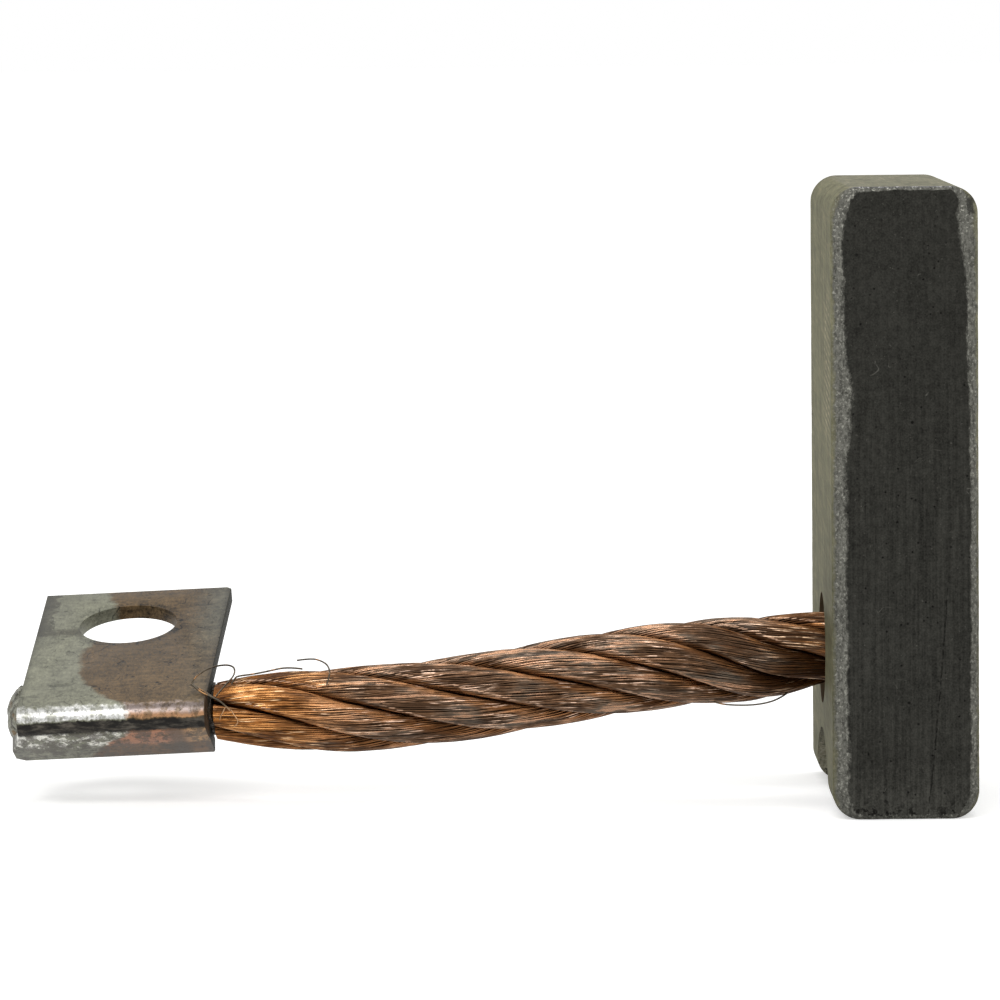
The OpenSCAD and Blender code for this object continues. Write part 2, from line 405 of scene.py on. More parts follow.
def waves(s, seed):
    """A smooth wandering line between about -1 and 1."""
    random = np.random.default_rng(seed)
    return sum(
        share * np.sin(2 * np.pi * s / wave + random.uniform(0, 6.28))
        for wave, share in ((6.1, 0.35), (2.9, 0.3), (1.3, 0.2), (0.6, 0.15))
    )


def break_edges(at, settings, width, depth, height):
    """Moves the points near the narrow faces' outlines in to a broken edge. Gives how much each was broken."""
    radius, back = settings.end_radius / MM, settings.break_back / MM
    end = settings.break_end / MM
    broken = np.full(len(at), -1.0)
    distance, direction = inward(at[:, [0, 2]], width, height, radius)
    x, y, z = at.T
    side = eased(np.abs(direction[:, 0]))
    for front in (True, False):
        from_face = y if front else depth - y
        left, right = (FRONT_LEFT, FRONT_RIGHT) if front else (BACK_LEFT, BACK_RIGHT)
        seed = 3 if front else 8
        along = np.where(x < width / 2, at_height(left, z), at_height(right, z))
        along = along * (1 + 0.13 * waves(z + 40 * (x < width / 2), seed))
        ends = end * (1 + 0.35 * waves(x + 40 * (z < height / 2), seed + 1))
        across = mixed(ends, along, side)
        down = mixed(end, back * (1 + 0.25 * waves(z, seed + 2)), side)
        k = 1 - distance / across - from_face / down
        depth_in = np.where(k > SOFT_EDGE, k, np.clip(k + SOFT_EDGE, 0, None) ** 2 / 4 / SOFT_EDGE)
        face = np.array([0, -1.0, 0]) if front else np.array([0, 1.0, 0])
        out = np.stack([direction[:, 0], 0 * x, direction[:, 1]], 1)
        at = at - depth_in[:, None] * (face * down[:, None] / 2 + out * across[:, None] / 2)
        cut = unit(face * across[:, None] + out * down[:, None])
        grain = np.array(
            [noise.fractal(Vector(p) * 2.6, 0.7, 2.1, 4) if m > 0 else 0.0 for p, m in zip(at, k)]
        )
        rough = eased(depth_in * 3)
        at = at + cut * (rough * (grain - 0.25) * settings.grain / MM * 1.6)[:, None]
        broken = np.maximum(broken, k)
    return at, broken


def block_mesh(settings):
    """The block in fine detail, before its groove and hole are cut."""
    size = (BLOCK_HIGH - BLOCK_LOW) / MM
    width, depth, height = size
    radius = settings.end_radius / MM
    counts = (
        round(radius * math.pi / 2 / OUTLINE_STEP),
        round((width - 2 * radius) / OUTLINE_STEP),
        round((height - 2 * radius) / OUTLINE_STEP),
    )
    loops = []
    for ring in range(BREAK_RINGS, -1, -1):
        k = ring / BREAK_RINGS
        loops.append((rounded_loop(width, height, mixed(radius, 0.6, k), BREAK_BAND * k, counts), 0.0))
    rows = EDGE_ROWS[1:] + [depth / 2] + [depth - y for y in reversed(EDGE_ROWS[1:])]
    outline = loops[-1][0]
    loops += [(outline, y) for y in rows]
    loops += [(loop, depth) for loop, _ in reversed(loops[: BREAK_RINGS + 1])]
    around = len(outline)
    at = np.concatenate([np.insert(loop, 1, y, axis=1) for loop, y in loops])
    at, broken = break_edges(at, settings, width, depth, height)
    faces = [
        (a, a + around, b + around, b)
        for row in range(len(loops) - 1)
        for a, b in ((row * around + j, row * around + (j + 1) % around) for j in range(around))
    ]
    last = (len(loops) - 1) * around
    faces.append(tuple(range(around)))
    faces.append(tuple(range(last + around - 1, last - 1, -1)))
    mesh = bpy.data.meshes.new("carbon_block_detail")
    mesh.from_pydata((at * MM + np.array(BLOCK_LOW)).tolist(), [], faces)
    mesh.attributes.new("broken", "FLOAT", "POINT").data.foreach_set("value", broken.astype(np.float32))
    mesh.update()
    outward(mesh)
    return mesh


def outward(mesh):
    """Turns every face outwards."""
    work = bmesh.new()
    work.from_mesh(mesh)
    bmesh.ops.recalc_face_normals(work, faces=work.faces)
    work.to_mesh(mesh)
    work.free()


def cutter(name, radius, height, end):
    """A cylinder along X for cutting, at a height above the foot, from outside the lead's side to end."""
    start = BLOCK_LOW.x - CUT_PAST
    middle = Vector(((start + end) / 2, (BLOCK_LOW.y + BLOCK_HIGH.y) / 2, BLOCK_LOW.z + height))
    work = bmesh.new()
    bmesh.ops.create_cone(
        work, cap_ends=True, segments=128, radius1=radius, radius2=radius, depth=end - start,
        matrix=Matrix.Translation(middle) @ Matrix.Rotation(math.pi / 2, 4, "Y"),
    )
    mesh = bpy.data.meshes.new(name)
    work.to_mesh(mesh)
    work.free()
    return named_object(name, mesh)


def carbon_tone(s, x, y, z, fine, mottle):
    """Tone of the plain faces, the depth of their hollows, and the lines along the block's travel."""
    cloud = s.noise(s.place, 0.35, 3)
    drawn = s.noise(s.stretched(5.5, 5.5, 0.16), 1, 4, 0.6)
    tone = s.ramp(fine, 0.3, 0.7, 0.72, 1.28) + s.ramp(cloud, 0.35, 0.65, -0.07, 0.07)
    tone += s.ramp(mottle, 0.3, 0.7, -0.22, 0.22)
    tone += s.ramp(drawn, 0.3, 0.7, -0.28, 0.24) * s.ramp(z, 30, 14, 0.4, 1)
    # Painted light: lighter towards the foot, most of all in its lowest few millimetres.
    tone *= s.ramp(z, 30, 0, 1, 1.16) * s.ramp(z, 3.6, 0.2, 1, 1.55)
    # Pits, chips along the foot, and a crack up from it, darkened as painted shade in their hollows.
    pit = s.max(s.dots(2.4, 0.2, 0.5), s.dots(1.1, 0.13, 0.52))
    chip = s.ramp(s.noise(s.place, 1.9, 4, 0.7), 0.47, 0.41) * s.ramp(z + 1.6 * cloud, 2.1, 1.1)
    path = 5.15 + 0.11 * z - 0.0017 * z * z + 0.22 * (s.noise(s.stretched(0, 0, 1.2), 1, 3) - 0.5)
    crack = s.ramp(abs(x - path), 0.06, 0.02) * s.ramp(z, 14.5, 12) * s.ramp(y, 3, 2)
    crack *= s.ramp(s.noise(s.stretched(0, 0, 2), 1, 2), 0.4, 0.55, 0.1, 0.8)
    hollow = s.max(pit, chip, crack)
    # A few light scratches and grains.
    sparkle = s.ramp(s.noise(s.place, 6, 2, 0.6), 0.68, 0.78)
    light = s.max(s.hairs(0.55, 0.006, 0.64), 0.7 * sparkle)
    return tone * (1 - 0.8 * hollow) + 2.2 * light, hollow, drawn


def sheened_dusty_carbon(s, settings, x, y, z, fine, mottle):
    """Colour of the dusty narrow faces, lightened as painted sheen, with marks that run across them, and where the
    lead's hole is.
    """
    slanted = z - 0.094 * y
    marks = s.noise(s.joined(5 * x, 0.22 * y, 3 * slanted), 1, 5, 0.75)
    broad = s.noise(s.stretched(0.8, 0.16, 0.8), 1, 4, 0.65)
    tone = s.ramp(marks, 0.3, 0.7, 0.88, 1.12) + s.ramp(broad, 0.3, 0.7, -0.1, 0.1)
    tone += s.ramp(s.noise(s.stretched(1.6, 0.9, 0.5), 1, 5, 0.7), 0.3, 0.7, -0.22, 0.22)
    tone += s.ramp(fine, 0.3, 0.7, -0.15, 0.15)
    dust_and_sheen = s.mix(0.5 * s.ramp(marks, 0.5, 0.7), settings.dust_and_sheen, (0.25, 0.215, 0.15))
    # Short saw marks beside the broken front edge.
    hatch = s.ramp(s.math("SINE", (slanted + 0.3 * mottle) * (2 * math.pi / SAW_PITCH)), -0.2, 0.9)
    hatch *= s.ramp(y, 1, 2.5) * s.ramp(y, 8, 5) * s.ramp(x, 0.6, 0.3)
    hatch *= s.ramp(z, 19, 22) * s.ramp(z, 30, 27) * s.ramp(s.noise(s.place, 0.8, 3), 0.4, 0.6, 0.3, 1)
    dust_and_sheen = s.mix(0.95 * hatch, dust_and_sheen, (0.36, 0.32, 0.24))
    dust_and_sheen = s.vector("MULTIPLY", s.scaled(dust_and_sheen, tone), (1, 1, 0.88))
    # Darker at the front of the face near the lead, as painted shade of the lead, and in the hole.
    lead_shade = s.ramp(y, 10.5, 6) * s.ramp(z, 20, 10) * s.ramp(z, 1, 7, 0.45, 1)
    dust_and_sheen = s.scaled(dust_and_sheen, 1 - 0.32 * lead_shade)
    radius = settings.hole_radius / MM
    middle_y = (BLOCK_HIGH.y - BLOCK_LOW.y) / 2 / MM
    bore = s.ramp(s.size(0, y - middle_y, z - settings.hole_height / MM), radius + 0.05, radius)
    return s.mix(bore, dust_and_sheen, (0.13, 0.10, 0.062)), bore


def broken_carbon(s, settings, x, y, z, mottle):
    """Where the long edges and two corners are broken, the colour of the breaks, and their speckle."""
    depth = s.attribute("broken")
    speckle = s.noise(s.stretched(6, 6, 4), 1, 4, 0.7)
    ragged = depth + 0.4 * (speckle - 0.5) + 0.2 * (mottle - 0.5)
    edges = s.straight(ragged, -0.1, s.ramp(y, 0.15, 0.5, 0.3, 1.1))

    def corner(beside, beyond, radius, z_from, z_to):
        """A corner of the front face, broken outside a radius."""
        away = s.size(beside, 0, beyond) + 0.5 * (speckle - 0.5)
        return s.ramp(away, radius, radius + 0.14) * s.ramp(z, z_from, z_to) * s.ramp(y, 0.5, 0.2)

    top = corner(s.max(2.3 - x, 0), s.max(z - 32.8, 0), 1.54, 32.5, 33.1)
    foot = corner(s.max(1.75 - x, 0) + s.max(x - 7, 0), s.max(0.95 - z, 0), 0.66, 1, 0.8)
    # Bright grains, most of them at the top, and a painted highlight along the rim where the break meets the narrow
    # face.
    flecks = s.ramp(s.noise(s.place, 7, 2, 0.6), 0.56, 0.68) * s.ramp(y, 0.75, 0.25, 0.25, 1)
    flecks *= s.ramp(z, 31.5, 33, 0.9, 1.8) + s.ramp(z, 34.2, 34.4, 0, 0.4)
    grooved = s.noise(s.stretched(3, 3, 0.3), 1, 3, 0.6)
    rim = s.ramp(depth, 0.45, 0.1) * s.ramp(y, 0.3, 0.12)
    rim *= s.ramp(s.noise(s.place, 0.7, 3, 0.6), 0.4, 0.62, 0.15, 1)
    tone = s.ramp(speckle, 0.3, 0.7, 0.42, 1.12) + flecks + 0.9 * (grooved - 0.5)
    tone += rim * s.ramp(speckle, 0.45, 0.65, 0, 1)
    tone *= s.ramp(z, 2.5, 0.6, 1, 0.8)
    return s.max(edges, top, foot), s.scaled(settings.broken, tone), speckle


def carbon_material(settings):
    """Pressed carbon: charcoal with lines along its travel and pits, dusty narrow faces lightened as painted sheen,
    bright broken grains, and painted light and shade in places.
    """
    s = Surface("Pressed carbon")
    x, y, z = s.split(s.vector("SUBTRACT", s.place, tuple(BLOCK_LOW / MM)))
    _, depth, height = (BLOCK_HIGH - BLOCK_LOW) / MM
    fine = s.noise(s.place, 9, 3, 0.65)
    mottle = s.noise(s.place, 2.6, 4, 0.7)
    tone, hollow, drawn = carbon_tone(s, x, y, z, fine, mottle)
    plain = s.scaled(settings.carbon, tone)
    dust_and_sheen, bore = sheened_dusty_carbon(s, settings, x, y, z, fine, mottle)
    on_narrow = s.ramp(y, 0.06, 0.2) * s.ramp(y, depth - 0.06, depth - 0.2)
    surface = s.mix(s.max(on_narrow, bore * s.ramp(x, 7, 6)), plain, dust_and_sheen)
    # The groove's crown: painted light, a pale colour that lifts its shade, and painted shade, dark at the front.
    crown = settings.groove_height / MM
    crown_light_and_shade = s.ramp(z, crown + 0.04, crown) * s.ramp(y, 1.5, 2.5) * s.ramp(y, 18.5, 17.5)
    crown_light_and_shade *= s.ramp(x, 0.01, 0.04) * s.ramp(x, 7.99, 7.96)
    surface = s.mix(crown_light_and_shade, surface, s.scaled((0.20, 0.19, 0.143), tone * s.ramp(y, 10.5, 14.5, 0.2, 1)))
    break_mask, broken, speckle = broken_carbon(s, settings, x, y, z, mottle)
    surface = s.mix(break_mask, surface, broken)
    # A facet worn at the upper corner on the far side, and the top face lighter and a little bluer as painted light
    # from above.
    worn = s.max(abs(x - FACET_X), 0.5 * abs(z - FACET_Z)) + 0.7 * (speckle - 0.5)
    worn = s.ramp(worn, 0.3, 0.16, 0, 0.85) * s.ramp(y, 1.2, 0.9)
    surface = s.mix(worn, surface, s.scaled(plain, 1.5))
    lit_top = s.ramp(z, height - 0.1, height - 0.03)
    surface = s.vector("MULTIPLY", surface, s.mix(lit_top, (1, 1, 1), (1.1, 1.1, 1.25)))

    relief = 0.5 * fine + 0.5 * drawn - 1.5 * hollow + 2.5 * speckle * break_mask
    roughness = s.ramp(fine, 0.2, 0.8, 0.5, 0.66)
    return s.finish(
        bump=relief, bump_height=0.015, Base_Color=surface, Roughness=roughness, Specular_IOR_Level=0.02
    )


class CARBONBRUSH_OT_block(bpy.types.Operator):
    """Makes the carbon block with its broken edges, its spring groove and its hole"""

    bl_idname = "carbon_brush.block"
    bl_label = "Carbon Block"

    def execute(self, context):
        settings = context.scene.carbon_brush_block
        block = named_object("block_work", block_mesh(settings))
        groove_axis = settings.groove_height - settings.groove_radius
        tools = [
            cutter("groove_cutter", settings.groove_radius, groove_axis, BLOCK_HIGH.x + CUT_PAST),
            cutter("hole_cutter", settings.hole_radius, settings.hole_height, BLOCK_LOW.x + settings.hole_depth),
        ]
        for tool in tools:
            cut = block.modifiers.new(tool.name, "BOOLEAN")
            cut.operation, cut.solver, cut.object = "DIFFERENCE", "EXACT", tool
        piece = baked(block, "pressed_block")
        for tool in tools:
            bpy.data.objects.remove(tool)
        dress(piece, carbon_material(settings), math.radians(32))
        stand_in(piece, "carbon", "carbon_block")
        return {"FINISHED"}


class CARBONBRUSH_OT_powder(bpy.types.Operator):
    """Gives the tamped copper powder round the lead its surface"""

    bl_idname = "carbon_brush.powder"
    bl_label = "Tamped Powder"

    def execute(self, context):
        s = Surface("Tamped copper powder")
        grain = s.noise(s.place, 7.0, 4.0, 0.7)
        colours = s.mix(s.ramp(grain, 0.35, 0.65), (0.09, 0.078, 0.048), (0.22, 0.19, 0.115))
        material = s.finish(bump=grain, bump_height=0.06, Base_Color=colours, Roughness=0.8)
        dress(frame["nodes"]["tamped_powder"], material)
        return {"FINISHED"}


# ---- lead ----

# The lead's rise from terminal to block, as shares of the whole at ten equal steps.
RISE_SHARES = [0, 0, 0, 0.07, 0.18, 0.34, 0.51, 0.66, 0.77, 0.83, 1]
TERMINAL_YAW = math.radians(-2.7)
TERMINAL_ROLL = math.radians(2.5)
MOUTH_FLAT = 1.1  # how much wider than round the lead is at the weld
MOUTH_HALF_HEIGHT = 1.6
MOUTH_LENGTH = 8
NECK_LENGTH = 4
CORE_SHARE = 0.33
SECTION_POWER = 0.76
FIRST_STRAND_ANGLE = 44.7
LEAD_IN = 6.0  # how far the lead runs into the block
SKIN_RINGS = 130
SKIN_SIDES = 32


class LeadRoute:
    """The lead's route and sections, in millimetres from the block's lower left front corner."""

    def __init__(self, settings):
        self.length = settings.reach / MM
        self.diameter = settings.diameter / MM
        self.neck = settings.neck / MM
        self.low = settings.mouth_height / MM
        self.high = bpy.context.scene.carbon_brush_block.hole_height / MM
        self.lays = settings.lay_at_block / MM, settings.lay_at_terminal / MM
        self.gap = settings.strand_gap / MM
        self.middle_y = (BLOCK_HIGH.y - BLOCK_LOW.y) / 2 / MM
        turn, lift = TERMINAL_YAW, TERMINAL_ROLL
        self.along = np.array([math.cos(lift) * math.cos(turn), math.cos(lift) * math.sin(turn), math.sin(lift)])
        self.back = np.array([-math.sin(turn), math.cos(turn), 0])
        self.inner = CORE_SHARE + 2 * self.gap / self.diameter

    def rise(self, f):
        """Catmull-Rom through the rise's shares."""
        steps = len(RISE_SHARES) - 1
        f = np.clip(f, 0, 1) * steps
        i = np.minimum(np.floor(f).astype(int), steps - 1)
        k = f - i
        share = np.array([RISE_SHARES[0], *RISE_SHARES, RISE_SHARES[-1]], float)
        p0, p1, p2, p3 = share[i], share[i + 1], share[i + 2], share[i + 3]
        before, after = (p2 - p0) / 2, (p3 - p1) / 2
        return (
            p1 * (2 * k**3 - 3 * k**2 + 1) + p2 * (3 * k**2 - 2 * k**3)
            + before * (k**3 - 2 * k**2 + k) + after * (k**3 - k**2)
        )

    def point(self, x):
        f = np.clip(1 + x / self.length, 0, 1)
        y = self.middle_y + self.length * math.tan(TERMINAL_YAW) * f * (1 - f) ** 2
        return np.stack([x, y, mixed(self.low, self.high, self.rise(f))], -1)

    def axes(self, x):
        """Sideways and upward directions of the section at x."""
        k = eased((x + self.length) / MOUTH_LENGTH)[..., None]
        route = unit(self.point(x + 0.2) - self.point(x - 0.2))
        route = np.where((x < 0)[..., None], route, [1.0, 0, 0])
        along = unit(mixed(self.along, route, k))
        up = unit(np.cross(along, mixed(self.back, np.array([0, 1.0, 0]), k)))
        return np.cross(up, along), up

    def halves(self, x):
        """Half the width and half the height of the section at x."""
        opened = 1 - (1 - np.clip((x + self.length) / MOUTH_LENGTH, 0, 1)) ** 2
        neck = eased(1 + x / NECK_LENGTH)
        r = self.diameter / 2
        return (
            mixed(mixed(MOUTH_FLAT * r, r, opened), self.neck / 2, neck),
            mixed(mixed(MOUTH_HALF_HEIGHT, r, opened), self.neck / 2, neck),
        )

    def turned(self, x):
        """How far a strand has turned at x, in degrees."""
        block, terminal = self.lays
        lay = np.where(x > 0, block, mixed(block, terminal, -x / self.length))
        return 360 * x / ((block + lay) / 2)

    def surface(self, x, share, degrees):
        side, up = self.axes(x)
        half_width, half_height = self.halves(x)
        turn = np.radians(degrees)
        return (
            self.point(x)
            + (share * half_width * np.cos(turn))[..., None] * side
            + (share * half_height * np.sin(turn))[..., None] * up
        )

    def section(self, a):
        """Share of the radius and angle round the section of one strand, at a degrees round it."""
        middle = (1 + self.inner) / 2
        half_angle = 30 - math.degrees(self.gap / self.diameter / middle)

        def fuller(v):
            return np.sign(v) * np.abs(v) ** SECTION_POWER

        a = np.radians(a)
        return middle + (1 - self.inner) / 2 * fuller(np.cos(a)), half_angle * fuller(np.sin(a))

    def even_steps(self, count):
        """Angles round a strand's section that lie the same distance apart."""
        a = np.linspace(0, 360, 721)
        share, degrees = self.section(a)
        turn = np.radians(degrees)
        p = np.stack([share * np.cos(turn), share * np.sin(turn)], 1)
        run = np.concatenate([[0], np.cumsum(np.linalg.norm(np.diff(p, axis=0), axis=1))])
        return np.interp(np.arange(count) / count * run[-1], run, a)


def skin_mesh(route, number):
    """The smooth outside of one strand, with u along it and v round it."""
    x = np.linspace(-route.length, LEAD_IN, SKIN_RINGS)[:, None]
    share, degrees = route.section(route.even_steps(SKIN_SIDES))
    start = FIRST_STRAND_ANGLE + 60 * number
    at = route.surface(
        np.broadcast_to(x, (SKIN_RINGS, SKIN_SIDES)), share[None, :], start + route.turned(x) + degrees[None, :]
    )
    mesh = bpy.data.meshes.new(f"strand_skin_{number}")
    n = SKIN_SIDES
    faces, uvs = [], []
    for i in range(SKIN_RINGS - 1):
        for j in range(n):
            a, b = i * n + j, i * n + (j + 1) % n
            faces.append((a, b, b + n, a + n))
            u0, u1, v0, v1 = i / (SKIN_RINGS - 1), (i + 1) / (SKIN_RINGS - 1), j / n, (j + 1) / n
            uvs += [(u0, v0), (u0, v1), (u1, v1), (u1, v0)]
    mesh.from_pydata((at.reshape(-1, 3) * MM + np.array(BLOCK_LOW)).tolist(), [], faces)
    layer = mesh.uv_layers.new(name="skin")
    layer.data.foreach_set("uv", np.array(uvs, np.float32).ravel())
    mesh.shade_smooth()
    mesh.update()
    return mesh


STRAND_INPUTS = {
    "Skin": "Geometry", "Wires": "Int", "Wire Diameter": "Float", "Turns": "Float", "Unevenness": "Float",
    "Steps": "Int", "Start": "Float", "End": "Float", "Seed": "Int",
    "Wire Material": "Material", "Inside Material": "Material",
}


def wire_layer(g, given, wires, depth, shift, sides):
    """One layer of wires laid round the skin: centres at a depth of so many wire radii, each with its own tone.

    shift sets the layer's own random draws, and sides is the number of sides of a wire.
    """
    line = g.add("GeometryNodeCurvePrimitiveLine", out="Curve")
    line = g.add("GeometryNodeResampleCurve", {"Curve": line, "Count": given["Steps"]}, "Curve")
    points = g.add("GeometryNodePoints", {"Count": wires}, "Points")
    lines = g.add("GeometryNodeInstanceOnPoints", {"Points": points, "Instance": line}, "Instances")
    lines = g.add("GeometryNodeRealizeInstances", {"Geometry": lines}, "Geometry")
    number = g.add("GeometryNodeCurveOfPoint", out="Curve Index")
    along = g.add("GeometryNodeSplineParameter", out="Factor")
    seed = given["Seed"] + float(shift)
    u = g.add("ShaderNodeMapRange", {"Value": along, "To Min": given["Start"], "To Max": given["End"]}, "Result")
    own = g.add(
        "FunctionNodeRandomValue", {"Min": 0, "Max": 1, "ID": number, "Seed": seed}, "Value", data_type="FLOAT"
    )

    def drift(frequency, offset, rows):
        """Noise along the wires. With few rows, wires that lie together drift together."""
        return g.noise(g.joined(u * frequency, number * rows, offset + 11.3 * seed), 1, 2) - 0.5

    loose = given["Unevenness"]
    place = number + (own - 0.5) * loose
    for frequency, offset, rows, share in ((7, 0, 0.22, 9), (11, 13, 3.7, 4), (34, 53, 0.5, 1.6)):
        place += drift(frequency, offset, rows) * loose * share
    v = g.math("FRACT", place / wires + u * given["Turns"] + 50)
    at = g.joined(u, v)
    uv = g.add("GeometryNodeInputNamedAttribute", {"Name": "skin"}, "Attribute", data_type="FLOAT_VECTOR")

    def sampled(field):
        return g.add(
            "GeometryNodeSampleUVSurface", {0: given["Skin"], "Value": field, "UV Map": uv, "Sample UV": at},
            "Value", data_type="FLOAT_VECTOR",
        )

    def stored(geometry, name, value, kind="FLOAT"):
        return g.add(
            "GeometryNodeStoreNamedAttribute", {"Geometry": geometry, "Name": name, "Value": value},
            "Geometry", data_type=kind, domain="POINT",
        )

    spot = sampled(g.add("GeometryNodeInputPosition"))
    out = sampled(g.add("GeometryNodeInputNormal"))
    radius = given["Wire Diameter"] * 0.5
    sunk = 2.2 * drift(12, 31, 3.7) * loose + 2 * drift(26, 91, 0.35) * loose - depth
    spot = g.vector("ADD", spot, g.scaled(out, radius * g.min(sunk, 0.15)))
    lines = g.add("GeometryNodeSetPosition", {"Geometry": lines, "Position": spot}, "Geometry")
    tone = 0.31 + 0.36 * own + 1.5 * drift(9, 77, 0.16) + drift(45, 41, 3.7)
    side = g.math("FRACT", v + 0.5) - 0.5
    for name, value in (("tone", tone), ("own", own), ("side", side)):
        lines = stored(lines, name, value)
    lines = stored(lines, "outwards", out, "FLOAT_VECTOR")
    circle = {"Resolution": sides, "Radius": radius}
    profile = g.add("GeometryNodeCurvePrimitiveCircle", circle, "Curve", mode="RADIUS")
    mesh = g.add("GeometryNodeCurveToMesh", {"Curve": lines, "Profile Curve": profile, "Fill Caps": True}, "Mesh")
    outwards = g.add("GeometryNodeInputNamedAttribute", {"Name": "outwards"}, "Attribute", data_type="FLOAT_VECTOR")
    top = g.vector("DOT_PRODUCT", g.add("GeometryNodeInputNormal"), outwards, out="Value")
    mesh = stored(mesh, "top", top)
    mesh = g.add("GeometryNodeSetShadeSmooth", {0: mesh, "Shade Smooth": True})
    return g.add("GeometryNodeSetMaterial", {"Geometry": mesh, "Material": given["Wire Material"]}, "Geometry")


def strand_tree():
    """A bunch of wires laid over a strand's skin in two layers, over a plain inside."""
    tree = bpy.data.node_groups.new("Bunched wires", "GeometryNodeTree")
    ids = {
        name: tree.interface.new_socket(name, in_out="INPUT", socket_type=f"NodeSocket{kind}").identifier
        for name, kind in STRAND_INPUTS.items()
    }
    tree.interface.new_socket("Geometry", in_out="OUTPUT", socket_type="NodeSocketGeometry")
    g = Nodes(tree)
    given = g.outputs("NodeGroupInput")
    outer = wire_layer(g, given, given["Wires"], depth=1.0, shift=0, sides=5)
    under = wire_layer(g, given, given["Wires"] * 0.9, depth=2.4, shift=5, sides=4)
    inwards = g.scaled(g.add("GeometryNodeInputNormal"), given["Wire Diameter"] * -1.5)
    inside = g.add("GeometryNodeSetPosition", {"Geometry": given["Skin"], "Offset": inwards}, "Geometry")
    inside = g.add("GeometryNodeSetMaterial", {"Geometry": inside, "Material": given["Inside Material"]}, "Geometry")
    join = g.add("GeometryNodeJoinGeometry", out=None)
    for part in (inside, outer, under):
        g.fill(join.inputs[0], part)
    whole = g.add("GeometryNodeRealizeInstances", {"Geometry": Value(g, join.outputs[0])}, "Geometry")
    g.add("NodeGroupOutput", {"Geometry": whole}, None)
    return tree, ids


def wire_material(settings):
    """Copper wire: brown with grey patches and short painted glints, painted orange shade in the grooves and painted
    dark shade between the wires, golden at the terminal.
    """
    s = Surface("Tarnished copper wire")
    tone, top, own, side = (s.attribute(name) for name in ("tone", "top", "own", "side"))
    x, _, z = s.split(s.place)
    block = BLOCK_LOW.x / MM
    mouth = block - bpy.context.scene.carbon_brush_lead.reach / MM

    def streaks(per_mm, offset, detail=2):
        """Noise along each wire, of its own."""
        return s.noise(s.joined(x * per_mm, offset + 97 * own), 1, detail, 0.6)

    cloud = s.noise(s.stretched(0.3, 0.8, 0.8), 1, 3, 0.6)
    shade = tone + 1.7 * (cloud - 0.5) + 1.2 * (streaks(1.1, 0, 3) - 0.5)
    # Golden at both ends. Painted light and shade: lit below and shaded above at the terminal, shaded at the mouth's
    # upper side, and darker at the block as painted shade.
    golden = s.max(s.ramp(x, mouth + 10, mouth + 2), s.ramp(x, block - 5, block - 0.5, 0, 0.6))
    shade += 0.03 * golden
    lit = s.ramp(z, 4.5, 5.6, -0.12, 0.2) + s.ramp(z, 6.3, 7, 0, -0.55)
    shade += s.ramp(x, mouth + 6, mouth + 2) * lit
    shade += s.ramp(x, block - 12, block, 0, -0.22)
    shade += s.ramp(x, mouth + 1.7, mouth + 0.1) * s.ramp(z, 4.8, 5.8, 0, -0.4)
    grey = s.ramp(s.noise(s.stretched(0.3, 0.8, 0.8), 1, 3), 0.42, 0.6)
    dark = s.mix(grey, settings.tarnish, (0.062, 0.051, 0.041))
    dark = s.mix(golden * 0.7, dark, (0.075, 0.028, 0.009))
    middle = s.mix(grey, (0.135, 0.072, 0.038), (0.125, 0.092, 0.066))
    middle = s.mix(golden, middle, (0.23, 0.088, 0.022))
    upper = s.mix(golden, settings.copper, (0.60, 0.285, 0.095))
    base = s.mix(s.ramp(shade, 0.1, 0.6), dark, middle)
    base = s.mix(s.ramp(shade, 0.5, 1), base, upper)
    # Orange-brown where the strands meet: painted shade, warmed as by the light that the copper throws back into the
    # grooves.
    groove = s.max(s.ramp(side, -0.07, -0.16), s.ramp(side, 0.19, 0.24))
    warm_groove_shade = s.mix(s.ramp(shade, 0.1, 0.8), (0.11, 0.044, 0.015), (0.30, 0.13, 0.045))
    base = s.mix(groove * 0.75, base, warm_groove_shade)
    # Painted highlight: a bright line along each strand's edge by the groove, here and there.
    edge_highlight = s.ramp(abs(side - 0.178), 0.014, 0.007)
    edge_highlight *= s.ramp(s.noise(s.stretched(0.35, 0.35, 0.35), 1, 2), 0.42, 0.56, 0.1, 0.75)
    base = s.mix(edge_highlight, base, (0.52, 0.33, 0.22))
    clusters = s.noise(s.stretched(0.4, 0.7, 0.7), 1, 3)
    glint = s.ramp(streaks(0.5, 40, 1), 0.54, 0.67) * s.ramp(clusters, 0.42, 0.57)
    glint *= s.ramp(streaks(1.7, 70, 2), 0.4, 0.56, 0.15, 1) * s.ramp(top, 0.45, 0.9)
    base = s.mix(glint, base, s.mix(golden, (0.87, 0.60, 0.44), (0.95, 0.64, 0.35)))
    # Painted shade at each wire's sides, dark between the wires.
    base = s.mix(s.ramp(top, 0.6, -0.1, 0, 0.75), base, (0.028, 0.013, 0.006))
    return s.finish(Base_Color=base, Metallic=1, Roughness=s.ramp(shade, 0.2, 1, 0.42, 0.22))


def inside_material():
    # Orange copper, lighter than the wires' tarnish: painted light, the warm light thrown into the shaded gaps
    # between the wires.
    s = Surface("Copper between the wires")
    grain = s.noise(s.stretched(0.6, 5, 5), 1, 3)
    return s.finish(
        Base_Color=s.mix(grain, (0.14, 0.056, 0.019), (0.38, 0.16, 0.055)), Metallic=0.2, Roughness=0.6
    )


